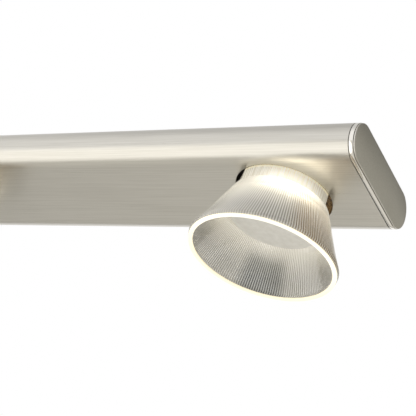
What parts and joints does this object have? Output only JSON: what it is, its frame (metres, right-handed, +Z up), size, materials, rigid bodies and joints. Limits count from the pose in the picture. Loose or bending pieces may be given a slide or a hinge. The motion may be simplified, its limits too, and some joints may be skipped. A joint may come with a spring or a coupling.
{
  "type": "track lighting fixture",
  "caption": "Flat-oval satin nickel light rail for a ceiling, with aimable lamp heads in flared, ribbed clear shades.",
  "frame": {"origin": "centre of the ceiling strap's top face, where it meets the ceiling", "axes": "+X along the rail, +Z up into the ceiling, +Y across the rail"},
  "size_m": [0.612, 0.0846, 0.0744],
  "materials": {
    "satin_nickel": "fine lengthwise brushed nickel plate",
    "polished_nickel": "polished nickel plate",
    "zinc_steel": "zinc-plated steel",
    "black_plastic": "moulded black plastic",
    "white_aluminium": "white powder coat on die-cast aluminium",
    "opal_acrylic": "opal acrylic, lit from behind",
    "clear_acrylic": "clear acrylic with fine ribs inside",
    "board_white": "white solder mask",
    "phosphor": "phosphor coating",
    "white_plastic": "moulded white plastic",
    "black_rubber": "soft moulded rubber",
    "lead_sleeve": "soft insulating sleeve"
  },
  "bodies": {
    "fixture": {"ceiling_strap": "zinc_steel", "hanger_clip_left_back": "zinc_steel", "hanger_clip_left_front": "zinc_steel", "hanger_clip_right_back": "zinc_steel", "hanger_clip_right_front": "zinc_steel", "rail_profile": "satin_nickel", "end_trim_left": "polished_nickel", "end_trim_right": "polished_nickel", "end_plate_left": "satin_nickel", "end_plate_right": "satin_nickel", "hanger_bolt_left": "zinc_steel", "hanger_bolt_right": "zinc_steel", "hanger_nut_left": "zinc_steel", "hanger_nut_right": "zinc_steel", "led_driver": "white_plastic", "terminal_block": "white_plastic", "cable_grommet": "black_rubber", "cable_clamp": "black_plastic", "supply_lead": "lead_sleeve", "head_1_lead": "lead_sleeve", "head_1_spring": "zinc_steel", "head_2_lead": "lead_sleeve", "head_2_spring": "zinc_steel", "head_3_lead": "lead_sleeve", "head_3_spring": "zinc_steel"},
    "swivel_1": {"head_1_turntable": "black_plastic", "head_1_pivot_pin": "zinc_steel"},
    "lamp_1": {"head_1_lamp_body": "white_aluminium", "head_1_collar": "opal_acrylic", "head_1_led_board": "board_white", "head_1_led_chip": "phosphor", "head_1_lens": "opal_acrylic", "head_1_clamp_ring": "polished_nickel", "head_1_shade": "clear_acrylic"},
    "swivel_2": {"head_2_turntable": "black_plastic", "head_2_pivot_pin": "zinc_steel"},
    "lamp_2": {"head_2_lamp_body": "white_aluminium", "head_2_collar": "opal_acrylic", "head_2_led_board": "board_white", "head_2_led_chip": "phosphor", "head_2_lens": "opal_acrylic", "head_2_clamp_ring": "polished_nickel", "head_2_shade": "clear_acrylic"},
    "swivel_3": {"head_3_turntable": "black_plastic", "head_3_pivot_pin": "zinc_steel"},
    "lamp_3": {"head_3_lamp_body": "white_aluminium", "head_3_collar": "opal_acrylic", "head_3_led_board": "board_white", "head_3_led_chip": "phosphor", "head_3_lens": "opal_acrylic", "head_3_clamp_ring": "polished_nickel", "head_3_shade": "clear_acrylic"}
  },
  "joints": [
    {"name": "pan_1", "type": "hinge", "parent": "fixture", "child": "swivel_1", "pos_m": [-0.25, 0, -0.031], "axis": [0, 0, 1], "range_deg": [-170, 170]},
    {"name": "tilt_1", "type": "hinge", "parent": "swivel_1", "child": "lamp_1", "pos_m": [-0.25, 0, -0.0325], "axis": [0.5, -0.866, 0], "range_deg": [-12, 12]},
    {"name": "pan_2", "type": "hinge", "parent": "fixture", "child": "swivel_2", "pos_m": [0, 0, -0.031], "axis": [0, 0, 1], "range_deg": [-170, 170]},
    {"name": "tilt_2", "type": "hinge", "parent": "swivel_2", "child": "lamp_2", "pos_m": [0, 0, -0.0325], "axis": [0.5, -0.866, 0], "range_deg": [-12, 12]},
    {"name": "pan_3", "type": "hinge", "parent": "fixture", "child": "swivel_3", "pos_m": [0.25, 0, -0.031], "axis": [0, 0, 1], "range_deg": [-170, 170]},
    {"name": "tilt_3", "type": "hinge", "parent": "swivel_3", "child": "lamp_3", "pos_m": [0.25, 0, -0.0325], "axis": [0.5, -0.866, 0], "range_deg": [-12, 12]}
  ]
}
